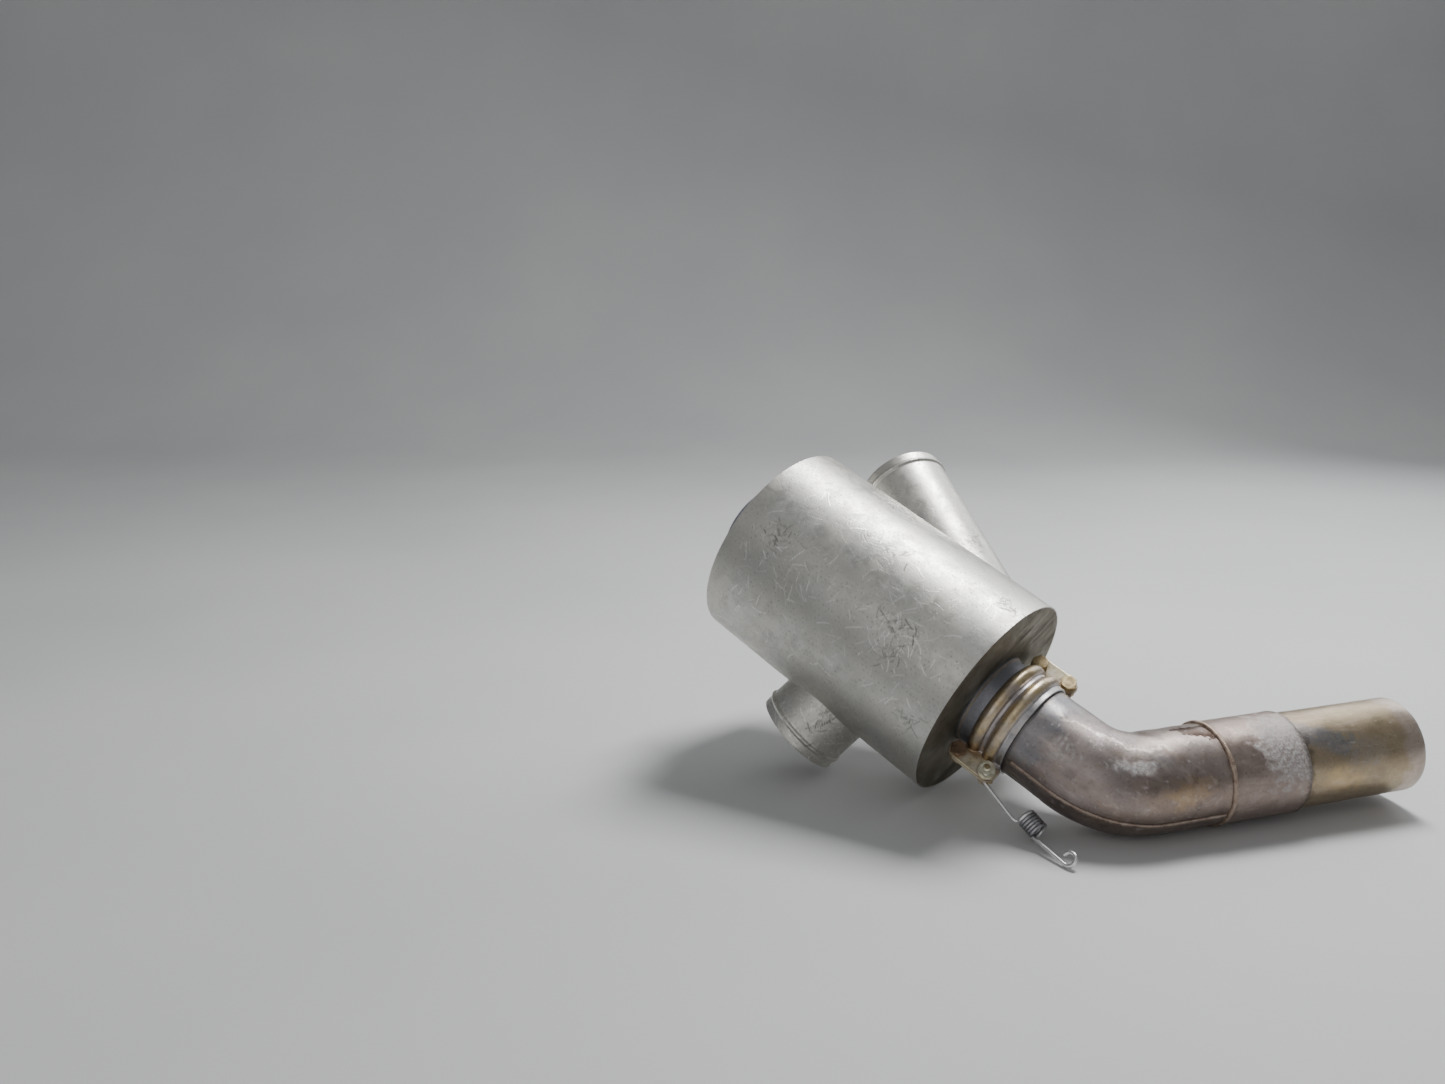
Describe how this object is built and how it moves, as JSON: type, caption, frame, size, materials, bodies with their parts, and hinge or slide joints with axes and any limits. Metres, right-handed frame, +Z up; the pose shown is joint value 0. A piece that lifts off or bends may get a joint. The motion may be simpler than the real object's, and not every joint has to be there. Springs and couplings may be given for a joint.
{
  "type": "exhaust muffler",
  "caption": "Exhaust muffler in an open-ended heat shroud with two air duct spuds, joined by a bolted bead clamp to a bent tailpipe that swivels; a hook spring hangs on the clamp.",
  "frame": {"origin": "centre of the bounding box's footprint, at the height of its lowest point", "axes": "+Z up, as the muffler lies off the engine; +X along the tailpipe towards its open end; +Y to the back, on the upper duct spud's side"},
  "size_m": [0.4622, 0.2704, 0.2144],
  "materials": {
    "shroud_steel": "satin bare stainless, scuffed",
    "spud_steel": "satin bare stainless, scuffed",
    "can_steel": "heat-browned",
    "cone_steel": "heat-browned, matt",
    "collar_steel": "blued by heat",
    "weld_steel": "oxidised weld bead",
    "inner_steel": "sooted",
    "clip_steel": "heat-browned",
    "rivet_steel": "bright",
    "clamp_steel": "straw heat tint",
    "bolt_steel": "dark brown, heat-scaled",
    "washer_steel": "yellow plated, faded",
    "nut_steel": "yellow plated, heat-darkened",
    "elbow_steel": "oxidised mauve-brown",
    "seam_steel": "ground weld, oxidised",
    "sleeve_steel": "oxidised",
    "tail_steel": "gold to blue heat tint",
    "spring_wire": "galvanised"
  },
  "bodies": {
    "muffler": {"shroud_shell": "shroud_steel", "lower_spud": "spud_steel", "upper_spud": "spud_steel", "can_shell": "can_steel", "inlet_cone": "cone_steel", "outlet_cone": "cone_steel", "inlet_collar": "collar_steel", "outlet_collar": "collar_steel", "collar_welds": "weld_steel", "perforated_tube": "inner_steel", "inlet_baffle": "inner_steel", "outlet_baffle": "inner_steel", "inlet_standoff_clips": "clip_steel", "outlet_standoff_clips": "clip_steel", "inlet_clip_rivets": "rivet_steel", "outlet_clip_rivets": "rivet_steel"},
    "clamp": {"clamp_half_front": "clamp_steel", "clamp_half_rear": "clamp_steel", "clamp_bolts": "bolt_steel", "clamp_washers": "washer_steel", "clamp_nuts": "nut_steel", "spring_bolt": "bolt_steel", "spring_bolt_washer": "washer_steel", "spring_bolt_nut": "nut_steel"},
    "tailpipe": {"elbow_half_upper": "elbow_steel", "elbow_half_lower": "elbow_steel", "elbow_seam_welds": "seam_steel", "girth_weld": "seam_steel", "tail_sleeve": "sleeve_steel", "tail_pipe": "tail_steel"},
    "spring": {"exhaust_spring": "spring_wire"}
  },
  "joints": [
    {"name": "tail_swivel", "type": "hinge", "parent": "muffler", "child": "tailpipe", "pos_m": [-0.02723, -0.05177, 0.05878], "axis": [0.6967, -0.5887, -0.4099], "range_deg": [0, 110]},
    {"name": "clamp_turn", "type": "hinge", "parent": "muffler", "child": "clamp", "pos_m": [-0.03559, -0.0447, 0.0637], "axis": [0.6967, -0.5887, -0.4099], "range_deg": [-30, 0]},
    {"name": "spring_swing", "type": "hinge", "parent": "clamp", "child": "spring", "pos_m": [-0.05339, -0.07248, 0.03261], "axis": [-0.1063, -0.6498, 0.7526], "range_deg": [-80, 0]}
  ]
}
